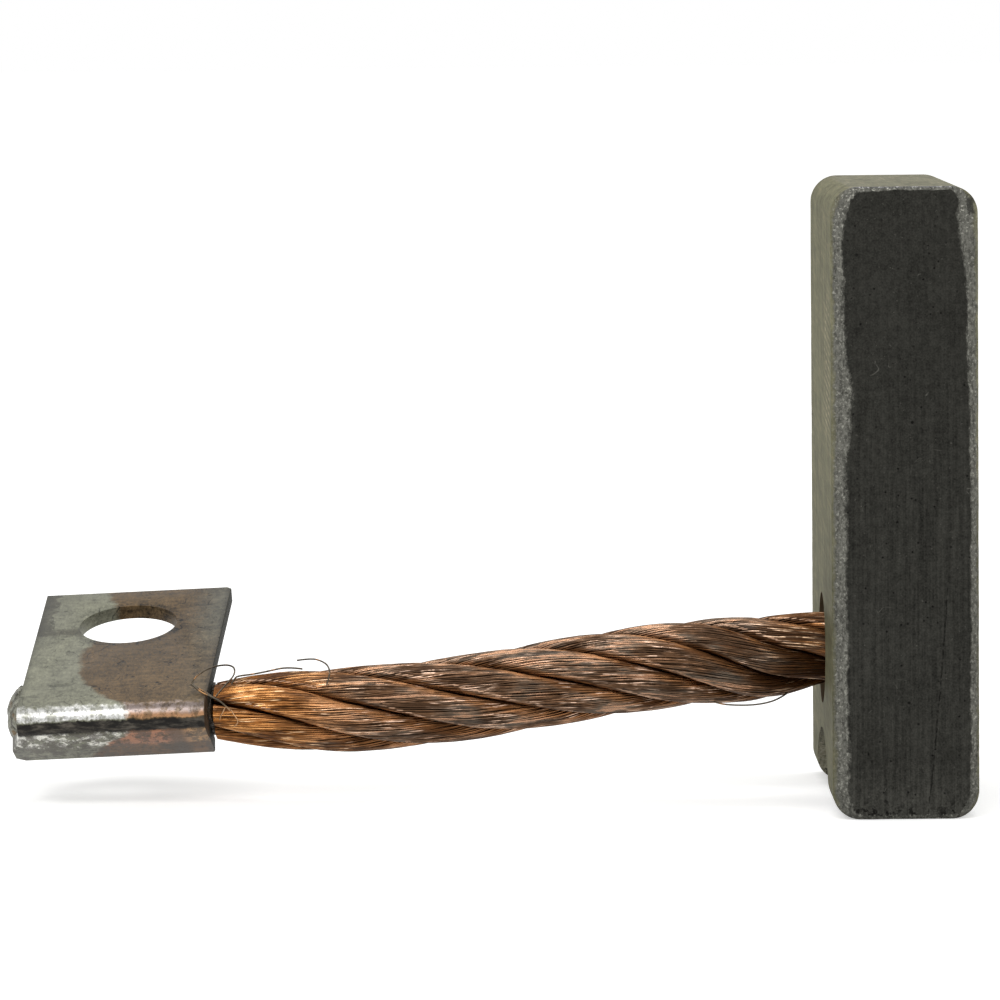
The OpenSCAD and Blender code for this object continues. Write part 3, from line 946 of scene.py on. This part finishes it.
class CARBONBRUSH_OT_strands(bpy.types.Operator):
    """Lays the copper wires of the six outer strands and dresses the core"""

    bl_idname = "carbon_brush.strands"
    bl_label = "Stranded Lead"

    def execute(self, context):
        settings = context.scene.carbon_brush_lead
        route = LeadRoute(settings)
        tree, ids = strand_tree()
        wire, inside = wire_material(settings), inside_material()
        for number, node in enumerate(STRANDS):
            source = named_object(f"{node}_skin", skin_mesh(route, number))
            modifier = source.modifiers.new("Bunched wires", "NODES")
            modifier.node_group = tree
            values = {
                "Wires": settings.wires, "Wire Diameter": settings.wire_diameter, "Turns": settings.turns,
                "Unevenness": settings.unevenness, "Steps": 100, "Start": 0.0, "End": 0.9,
                "Seed": 20 + number, "Wire Material": wire, "Inside Material": inside,
            }
            for name, value in values.items():
                modifier[ids[name]] = value
            piece = baked(source, f"{node}_wires")
            stand_in(piece, "copper_wire", node)
        dress(frame["nodes"]["core_strand"], inside)
        return {"FINISHED"}


# Broken and sprung wires, in millimetres from the block's lower left front corner.
# The first figure is the thickness in shares of the lead's wires.
STRAY_WIRES = (
    (1.0,
     (-33.8, 7.0, 6.0), (-34.2, 7.1, 6.3), (-34.7, 7.2, 6.6), (-35.3, 7.4, 6.92), (-35.2, 7.6, 7.2),
     (-34.7, 8.0, 7.58), (-34.15, 8.5, 7.77), (-33.45, 9.2, 7.8), (-33.05, 9.5, 7.65), (-32.95, 9.3, 7.42),
     (-33.05, 8.8, 7.14), (-33.3, 8.2, 6.95), (-34.0, 7.3, 6.2)),
    (1.0,
     (-35.3, 7.3, 6.93), (-34.85, 6.9, 6.58), (-34.2, 6.7, 6.3), (-33.65, 6.7, 6.05), (-33.15, 6.9, 5.5)),
    (1.0,
     (-33.2, 9.2, 6.6), (-33.0, 9.6, 7.0), (-32.75, 9.7, 7.1), (-32.1, 9.8, 7.15), (-31.2, 9.9, 7.3),
     (-30.05, 10.0, 7.55), (-29.2, 10.1, 7.4)),
    (1.0,
     (-27.8, 8.0, 6.7), (-27.65, 8.0, 7.2), (-27.6, 8.1, 7.5), (-27.75, 8.6, 7.8), (-28.1, 9.2, 7.95),
     (-28.65, 9.7, 8.05), (-29.5, 10.0, 7.9)),
    (0.7,
     (-33.75, 7.1, 4.95), (-33.72, 6.95, 5.1), (-33.62, 6.9, 5.3), (-33.45, 7.0, 5.6)),
    (0.7,
     (-33.1, 7.1, 5.5), (-32.95, 6.95, 5.25), (-32.78, 6.85, 5.05), (-32.72, 6.85, 4.9), (-32.78, 6.85, 4.72),
     (-32.95, 7.0, 4.6)),
    (1.0,
     (-6.8, 9.2, 5.7), (-6.0, 8.9, 5.35), (-4.8, 8.8, 5.25), (-3.6, 8.7, 5.3), (-2.55, 8.8, 5.55),
     (-2.0, 9.1, 5.9)),
)


def stray_material():
    """Dark tarnished wire with a few coppery stretches."""
    s = Surface("Tarnished stray wire")
    worn = s.ramp(s.noise(s.place, 1.6, 3, 0.6), 0.52, 0.66)
    base = s.mix(worn, (0.085, 0.07, 0.05), (0.34, 0.18, 0.075))
    x, _, z = s.split(s.place)
    golden = s.ramp(z, 5.9, 5.4) * s.ramp(x, 0, -5)
    base = s.mix(golden, base, (0.42, 0.25, 0.13))
    return s.finish(Base_Color=base, Metallic=0.9, Roughness=0.35)


class CARBONBRUSH_OT_stray(bpy.types.Operator):
    """Bends the broken and sprung wires out of the lead"""

    bl_idname = "carbon_brush.stray"
    bl_label = "Stray Wires"

    def execute(self, context):
        settings = context.scene.carbon_brush_lead
        curve = bpy.data.curves.new("stray_route", "CURVE")
        curve.dimensions = "3D"
        curve.resolution_u = 6
        curve.bevel_depth, curve.bevel_resolution, curve.use_fill_caps = settings.wire_diameter * 0.5, 1, True
        for thickness, *points in STRAY_WIRES:
            spline = curve.splines.new("NURBS")
            spline.points.add(len(points) - 1)
            for spot, point in zip(spline.points, points):
                spot.co, spot.radius = (*(Vector(point) * MM + BLOCK_LOW), 1), thickness
            spline.order_u, spline.use_endpoint_u = 3, True
        piece = baked(named_object("stray_work", curve), "stray_wires")
        piece.data.shade_smooth()
        dress(piece, stray_material())
        stand_in(piece, "copper_wire")
        return {"FINISHED"}


# ---- terminal and weld ----

# How far the tin reaches from the terminal's lead end, as (distance from the fold, reach) in millimetres.
TIN_LINE = [
    (-3, -4.2), (-0.6, -4.6), (0.6, -5.8), (2, -6.7), (3.4, -7.4), (5.5, -7.85), (7.4, -7.9), (8.4, -7.4), (12, -6.9),
    (14, -6.6), (15.5, -7.1), (18, -7.25),
]
PLATE_RISE, FLANGE_FALL = 16, 24  # degrees
# Sizes of the sheet, in millimetres.
FOLD_RADIUS = 0.95
SCREW_FROM_LEAD_END = 5.6
SCREW_FROM_FOLD = 11.4
HALF_SHEET = 0.4
PLATE_WIDTH = 10.8
GRIME_RADIUS = 3.05  # from the screw hole's axis
SHEARED = 0.1  # how far the sheared end is rolled over, along the lead
WORN_EDGE = 0.06
LEAD_END = 0.138  # where the sheet's lead end and the fold's axis lie in the plate's frame
FOLD_AXIS = 0.068
NEAR_END, NEAR_SURFACE = 0.06, 0.02  # how near a vertex of the sheet's lead end and of its outside lies
FOLD_REACH = 0.6  # how far back from the fold's axis the cut-back end reaches on the plate
END_INSET = 0.24  # how far the fold's lead end lies back
END_TAPER = 0.015  # how far the flange's lead end slants back for each millimetre below the fold


def plate_frame():
    """Where the plate's upper face meets the fold at the lead's end, in millimetres, and the plate's axes.

    The axes run along the lead, back and up.
    """
    screw = next(m for m in frame["record"]["mounts"] if m["name"] == "screw_hole")
    up = Vector(screw["axis"])
    along = Vector((math.cos(TERMINAL_YAW), math.sin(TERMINAL_YAW), 0))
    back = up.cross(along).normalized()
    axes = Matrix((back.cross(up), back, up)).transposed()
    return Vector(screw["pos_m"]) / MM - axes @ Vector((-SCREW_FROM_LEAD_END, SCREW_FROM_FOLD, -HALF_SHEET)), axes


def curve_through(s, value, points):
    """A smooth curve through given points."""
    (x0, x1), (y0, y1) = ((min(c), max(c)) for c in zip(*points))
    node = s.add("ShaderNodeFloatCurve", {"Value": s.straight(value, x0, x1)}, None)
    curve = node.mapping.curves[0]
    spots = [((x - x0) / (x1 - x0), (y - y0) / (y1 - y0)) for x, y in points]
    curve.points[0].location, curve.points[1].location = spots[0], spots[-1]
    for spot in spots[1:-1]:
        curve.points.new(*spot)
    node.mapping.update()
    return y0 + Value(s, node.outputs[0]) * (y1 - y0)


def sheet_shade(s, u, v, w, frayed):
    """Tone of the sheet's surface, and its fine grain, brushed lines and specks."""
    brushed = s.noise(s.joined(0.8 * u, 3.2 * v, 6 * w), 1, 4, 0.65)
    fine = s.noise(s.stretched(7, 2.4, 6), 1, 4, 0.75)
    patches = s.noise(s.stretched(1.9, 0.8, 1.9), 1, 4, 0.7)
    blotches = s.noise(s.place, 0.45, 4, 0.6)
    specks = s.ramp(s.noise(s.place, 2.6, 5, 0.75), 0.58, 0.7)
    specks = s.max(specks, s.dots(1.1, 0.2, 0.5), 0.8 * s.hairs(0.45, 0.014, 0.5))
    shade = 1 + 0.8 * (blotches - 0.5) + 1.7 * (fine - 0.5) + 0.8 * (brushed - 0.5) + 0.8 * (patches - 0.5)
    shade += 0.5 * s.dots(1.9, 0.2, 0.5) - 0.5 * specks
    # Grime round the screw hole, and at the sheet's edges.
    rim = abs(s.size(u + SCREW_FROM_LEAD_END, v - SCREW_FROM_FOLD) - GRIME_RADIUS)
    shade -= 0.3 * s.ramp(rim, 0.7, 0) * s.ramp(frayed, -0.12, 0.12, 0.3, 1)
    edge = s.min(abs(u), u + PLATE_WIDTH)
    shade *= s.ramp(edge + 0.3 * frayed, -0.05, 0.5, 0.62, 1)
    return shade, fine, brushed, specks


def terminal_material(settings):
    """Sheet copper, dull tinned at its outer end and oxidised brown at the lead's end, shinier on the fold, with a
    painted highlight and a painted dark reflection there.
    """
    s = Surface("Half-tinned copper sheet")
    corner, axes = plate_frame()
    frame_place = {"Vector": s.place, "Location": corner, "Rotation": axes.to_euler()}
    u, v, w = s.split(s.add("ShaderNodeMapping", frame_place, vector_type="TEXTURE"))
    ragged = s.noise(s.place, 0.9, 6, 0.7) - 0.5
    frayed = s.noise(s.place, 2.2, 5, 0.7) - 0.5
    tinned = s.ramp(curve_through(s, v, TIN_LINE) - u + 1.2 * ragged, -0.25, 0.2)
    # Thin tin at the outer back corner and in a band from there to the hole. Olive towards the lead's end.
    thin = s.ramp(u + 1.4 * ragged + 1.8 * frayed, -9.95, -10.2) * s.ramp(v, 9.8, 10.6)
    thin = s.max(thin, s.ramp(abs(v - 10.5) + 1.6 * frayed, 0.8, 0.1) * s.ramp(u, -7.3, -8.2))
    olive = s.ramp(u + 2 * frayed, -2.6, -0.3) * s.ramp(v, 4, 12, 0.25, 1)

    # Round the fold: turn is 90 degrees on the plate, 0 where the fold faces forward, below 0 underneath.
    turn = s.math("ARCTAN2", w + FOLD_RADIUS, v * -1) * (180 / math.pi) - PLATE_RISE
    turn += 34 * (s.noise(s.stretched(0.35, 0.1, 0.1), 1, 4, 0.6) - 0.5) + 26 * frayed
    folded = s.ramp(v, 0.9, 0.3)
    # A painted highlight where the fold faces up and forward, near white on tin and pink to orange on copper, with
    # darker specks; below it a painted dark reflection.
    fold_highlight = folded * s.ramp(turn + 60 * frayed, 76, 34) * s.ramp(turn, 0, 6)
    dark_reflection = folded * s.ramp(turn, 3, -5) * s.ramp(turn, -58, -42)
    spots = s.noise(s.stretched(1.9, 1.1, 1.1), 1, 5, 0.72)
    specked_highlight = fold_highlight * s.ramp(spots, 0.6, 0.46, 0.3, 1)
    spotted = s.ramp(turn, -36, -48) * s.ramp(v + 1.4 * frayed, 1.35, 0.85)
    bright_spots = spotted * s.ramp(spots, 0.47, 0.57)
    orange_spots = s.max(bright_spots, spotted * s.ramp(spots, 0.38, 0.5))
    grimy = s.ramp(turn, -40, -52) * s.ramp(s.noise(s.stretched(1.3, 0.8, 0.8), 1, 6, 0.75), 0.54, 0.45)
    grimy = s.max(grimy, s.ramp(abs(u + 1.9), 0.8, 0.2) * s.ramp(turn, -40, -50))

    shade, fine, brushed, specks = sheet_shade(s, u, v, w, frayed)
    mottled = 1 + 1.7 * (shade - 1)
    tin = s.mix(thin, s.scaled(settings.tin, shade), s.scaled((0.092, 0.088, 0.065), shade))
    tin = s.scaled(tin, s.ramp(v, 8, 13, 1, 0.91))
    tin = s.scaled(tin, 1 + 0.28 * s.ramp(turn, -46, -54) * s.ramp(v, 1.4, 2.4))
    tin = s.mix(bright_spots, tin, s.scaled((0.74, 0.73, 0.67), s.ramp(fine, 0.3, 0.62, 0.6, 1.1)))
    tin = s.mix(specked_highlight, tin, s.scaled((0.62, 0.62, 0.60), s.ramp(fine, 0.3, 0.6, 0.62, 1.12)))
    bare = s.scaled(s.mix(olive, settings.bare, (0.092, 0.086, 0.062)), mottled)
    bare = s.mix(s.ramp(turn, -40, -52), bare, s.scaled((0.118, 0.067, 0.032), mottled))
    orange = s.mix(s.ramp(u, -2.4, -0.8), (0.43, 0.20, 0.11), (0.46, 0.28, 0.13))
    bare = s.mix(0.85 * orange_spots, bare, orange)
    copper_highlight = s.mix(s.ramp(turn, 30, 10), (0.245, 0.20, 0.185), (0.38, 0.205, 0.105))
    bare = s.mix(specked_highlight, bare, copper_highlight)
    base = s.mix(tinned, bare, tin)
    base = s.mix(0.75 * grimy, base, (0.06, 0.05, 0.038))
    # The painted dark reflection below the fold's highlight, streaked.
    streaky = s.ramp(s.noise(s.stretched(0.7, 2.2, 2.2), 1, 5, 0.7), 0.42, 0.78)
    base = s.mix(dark_reflection, base, s.mix(streaky, (0.013, 0.012, 0.011), (0.12, 0.107, 0.087)))
    # The cut faces at the lead's end, brown at the fold and darker on the plate: oxide, darkened as painted shade.
    cut = u - (LEAD_END - END_INSET) + 0.022 * s.max(-FOLD_RADIUS - w, 0) - 0.0028 * v
    cut = s.ramp(cut + s.ramp(v, 0.3, 0.9, 0.05, 0), -0.045, -0.02)
    brown = s.mix(brushed, (0.026, 0.015, 0.008), (0.075, 0.045, 0.024))
    base = s.mix(cut, base, s.mix(s.ramp(v, 0.3, 0.9), brown, (0.021, 0.02, 0.014)))

    gloss = 0.5 - 0.2 * fold_highlight + 0.25 * cut + 0.25 * (fine - 0.5)
    relief = 0.4 * fine + 0.3 * brushed + 0.5 * tinned - 0.5 * specks
    return s.finish(bump=relief, bump_height=0.015, Base_Color=base, Metallic=0.85, Roughness=gloss)


def rolled_edges(mesh):
    """Rolls over the sheared end of the fold and its flange, and breaks the sheet's other sharp edges."""
    corner, axes = plate_frame()
    fall = math.radians(FLANGE_FALL + PLATE_RISE)
    work = bmesh.new()
    work.from_mesh(mesh)
    bmesh.ops.remove_doubles(work, verts=work.verts, dist=1e-6)
    bmesh.ops.dissolve_limit(work, angle_limit=math.radians(1), verts=work.verts, edges=work.edges)
    local = {vertex: axes.transposed() @ (vertex.co / MM - corner) for vertex in work.verts}
    lead_end = {vertex for vertex, (u, _, _) in local.items() if abs(u - LEAD_END) < NEAR_END}

    def on_fold_end(vertex):
        """Whether it lies on the outside of the fold or the flange, at the lead's end."""
        _, v, w = local[vertex]
        v, w = v - FOLD_AXIS, w + FOLD_RADIUS
        from_axis = math.hypot(v, w)
        if v > 0.01:
            from_axis = -w * math.cos(fall) - v * math.sin(fall) if w < 0 else 0
        return vertex in lead_end and abs(from_axis - FOLD_RADIUS) < NEAR_SURFACE

    def bevel(edges, offset, segments):
        bmesh.ops.bevel(
            work, geom=edges, offset=offset * MM, segments=segments, profile=0.5, affect="EDGES", clamp_overlap=True
        )

    for vertex in lead_end:
        _, v, w = local[vertex]
        if v < FOLD_REACH or w < -FOLD_RADIUS:
            vertex.co -= axes @ Vector((END_INSET + END_TAPER * max(0, -w - FOLD_RADIUS), 0, 0)) * MM
    bevel([edge for edge in work.edges if all(on_fold_end(vertex) for vertex in edge.verts)], SHEARED, 4)
    inner = [edge for edge in work.edges if len(edge.link_faces) == 2]
    bevel([edge for edge in inner if edge.calc_face_angle() > math.radians(35)], WORN_EDGE, 2)
    work.to_mesh(mesh)
    work.free()


class CARBONBRUSH_OT_terminal(bpy.types.Operator):
    """Gives the folded terminal its worn edges and its tinned and oxidised surface"""

    bl_idname = "carbon_brush.terminal"
    bl_label = "Terminal"

    def execute(self, context):
        settings = context.scene.carbon_brush_terminal
        piece = named_object("worn_terminal", frame["nodes"]["terminal"].data.copy())
        rolled_edges(piece.data)
        dress(piece, terminal_material(settings), math.radians(40))
        stand_in(piece, "tinned_copper", "terminal")
        return {"FINISHED"}


WELD_GRAIN = 0.11 * MM  # size of the faces that the fused bead is remade with
LUMPS = ((1.1, 0.2), (3.1, 0.09))  # lumps to a millimetre and their height in millimetres
LEAST_SINK = 0.05  # millimetres that the bead lies inside the weld everywhere


class CARBONBRUSH_OT_weld(bpy.types.Operator):
    """Roughens the fused wire end to a lumpy bead"""

    bl_idname = "carbon_brush.weld"
    bl_label = "Welded Wire End"

    def execute(self, context):
        source = named_object("weld_work", frame["nodes"]["welded_wire_end"].data.copy())
        remesh = source.modifiers.new("even", "REMESH")
        remesh.mode, remesh.voxel_size = "VOXEL", WELD_GRAIN
        piece = baked(source, "fused_bead")
        spots = [(vertex.co / MM, vertex.normal.copy()) for vertex in piece.data.vertices]
        for vertex, (at, normal) in zip(piece.data.vertices, spots):
            lumps = sum(noise.noise(at * per_mm) * height for per_mm, height in LUMPS)
            vertex.co -= normal * (abs(lumps) + LEAST_SINK) * MM
        dress(piece, self.material(), math.radians(40))
        stand_in(piece, "welded_copper", "welded_wire_end")
        return {"FINISHED"}

    def material(self):
        s = Surface("Fused wire end")
        grain = s.noise(s.place, 2.4, 5, 0.7)
        brown = s.noise(s.place, 1.1, 2)
        base = s.mix(s.ramp(grain, 0.34, 0.68), (0.052, 0.049, 0.036), (0.30, 0.30, 0.245))
        base = s.mix(s.ramp(brown, 0.56, 0.66), base, (0.16, 0.12, 0.075))
        # Painted shade, dark brown, where it lies shut in the fold.
        x, _, _ = s.split(s.place)
        base = s.mix(s.ramp(x, -24, -20, 0, 0.95), base, (0.035, 0.021, 0.011))
        return s.finish(bump=grain, bump_height=0.2, Base_Color=base, Metallic=0.9, Roughness=0.38)


# ---- stage ----

FOCAL_LENGTH = 205.3
CAMERA_FROM_BLOCK = Vector((-18.23, -308.26, 45.29))  # millimetres from the block's lower left front corner
CAMERA_PITCH = math.radians(5.11)
CAMERA_YAW = math.radians(0.04)
CAMERA_ROLL = math.radians(-0.57)
LAMP_AIM = Vector((0, 0, 0.015))
# Each lamp's name, power in watts, place, width and height in metres.
LAMPS = (
    ("key", 0.3, (-0.16, -0.24, 0.28), 0.08, 0.08),
    ("front", 0.44, (0.02, -0.30, 0.26), 0.28, 0.20),
    ("fill", 0.12, (0.28, -0.20, 0.18), 0.12, 0.12),
    ("top", 0.37, (0.0, 0.12, 0.34), 0.25, 0.12),
)


def aim_camera(camera):
    """Turns the camera by its pitch, yaw and roll, looking along +Y."""
    pitch, yaw, roll = CAMERA_PITCH, CAMERA_YAW, CAMERA_ROLL
    forward = Vector((math.sin(yaw) * math.cos(pitch), math.cos(yaw) * math.cos(pitch), -math.sin(pitch)))
    level = Vector((math.cos(yaw), -math.sin(yaw), 0))
    upright = level.cross(forward)
    right = math.cos(roll) * level + math.sin(roll) * upright
    up = -math.sin(roll) * level + math.cos(roll) * upright
    turn = Matrix((right, up, -forward)).transposed().to_4x4()
    camera.matrix_world = Matrix.Translation(BLOCK_LOW + CAMERA_FROM_BLOCK * MM) @ turn


def add_lamp(name, power, position, width, height):
    """An area lamp that looks at the middle of the part."""
    data = bpy.data.lights.new(name, "AREA")
    data.energy = power
    data.shape, data.size, data.size_y = "RECTANGLE", width, height
    lamp = named_object(name, data)
    lamp.location = position
    lamp.rotation_euler = (LAMP_AIM - Vector(position)).to_track_quat("-Z", "Y").to_euler()


class CARBONBRUSH_OT_stage(bpy.types.Operator):
    """Sets the floor, the white surroundings, the lamps and the camera"""

    bl_idname = "carbon_brush.stage"
    bl_label = "Stage"

    def execute(self, context):
        scene = context.scene
        settings = scene.carbon_brush_stage
        data = bpy.data.cameras.new("camera")
        data.lens, data.sensor_width = FOCAL_LENGTH, 36
        data.clip_start, data.clip_end = 0.01, 10
        camera = named_object("camera", data)
        aim_camera(camera)
        scene.camera = camera

        mesh = bpy.data.meshes.new("floor")
        far = 3.0
        mesh.from_pydata([(-far, -far, 0), (far, -far, 0), (far, far, 0), (-far, far, 0)], [], [(0, 1, 2, 3)])
        floor = named_object("floor", mesh)
        floor.location.z = BLOCK_LOW.z - 0.02 * MM
        # The floor glows a little where it is seen, more so further out.
        s = Surface("Pale floor")
        path = s.outputs("ShaderNodeLightPath")
        away = s.vector("LENGTH", s.add("ShaderNodeTexCoord", out="Object"), out="Value")
        glow = s.max(path["Is Camera Ray"], path["Is Glossy Ray"]) * s.ramp(away, 0.04, 0.4, 0.5, 0.7)
        material = s.finish(
            Base_Color=rgb(settings.floor), Roughness=0.9, Specular_IOR_Level=0.0,
            Emission_Color=rgb((1, 1, 1)), Emission_Strength=glow,
        )
        mesh.materials.append(material)

        world = bpy.data.worlds.new("White room")
        scene.world = world
        world.use_nodes = True
        w = Nodes(world.node_tree)
        background = next(n for n in w.tree.nodes if n.type == "BACKGROUND")
        path = w.outputs("ShaderNodeLightPath")
        seen = w.max(path["Is Camera Ray"], path["Is Glossy Ray"], path["Is Transmission Ray"])
        strength = w.add("ShaderNodeMapRange", {"Value": seen, "To Min": 0.45, "To Max": 1.0})
        w.fill(background.inputs["Strength"], strength)
        w.fill(background.inputs["Color"], rgb((1, 1, 1)))

        for name, power, position, width, height in LAMPS:
            add_lamp(name, power * settings.lamp, position, width, height)

        scene.view_settings.view_transform = "Standard"
        return {"FINISHED"}


# ---- panel and registration ----


class CARBONBRUSH_PT_panel(bpy.types.Panel):
    """Lists the carbon brush's pieces and settings"""

    bl_label = "Carbon Brush"
    bl_idname = "CARBONBRUSH_PT_panel"
    bl_space_type = "VIEW_3D"
    bl_region_type = "UI"
    bl_category = "Carbon Brush"

    def draw(self, context):
        for operator, group in PIECES:
            box = self.layout.box()
            box.operator(operator.bl_idname)
            settings = getattr(context.scene, group, None) if group else None
            for name in settings.__annotations__ if settings else ():
                box.prop(settings, name)


GROUPS = {
    "carbon_brush_block": BlockSettings,
    "carbon_brush_lead": LeadSettings,
    "carbon_brush_terminal": TerminalSettings,
    "carbon_brush_stage": StageSettings,
}
PIECES = (
    (CARBONBRUSH_OT_stage, "carbon_brush_stage"),
    (CARBONBRUSH_OT_block, "carbon_brush_block"),
    (CARBONBRUSH_OT_powder, None),
    (CARBONBRUSH_OT_strands, "carbon_brush_lead"),
    (CARBONBRUSH_OT_stray, None),
    (CARBONBRUSH_OT_terminal, "carbon_brush_terminal"),
    (CARBONBRUSH_OT_weld, None),
)
CLASSES = (*GROUPS.values(), *(operator for operator, _ in PIECES), CARBONBRUSH_PT_panel)


def register():
    for cls in CLASSES:
        bpy.utils.register_class(cls)
    for name, group in GROUPS.items():
        setattr(bpy.types.Scene, name, PointerProperty(type=group))


def unregister():
    for name in GROUPS:
        delattr(bpy.types.Scene, name)
    for cls in reversed(CLASSES):
        bpy.utils.unregister_class(cls)


def main():
    """Makes every piece."""
    register()
    for operator, _ in PIECES:
        group, name = operator.bl_idname.split(".")
        result = getattr(getattr(bpy.ops, group), name)()
        if "FINISHED" not in result:
            raise RuntimeError(f"{operator.bl_label} did not finish")


if __name__ == "__main__":
    main()
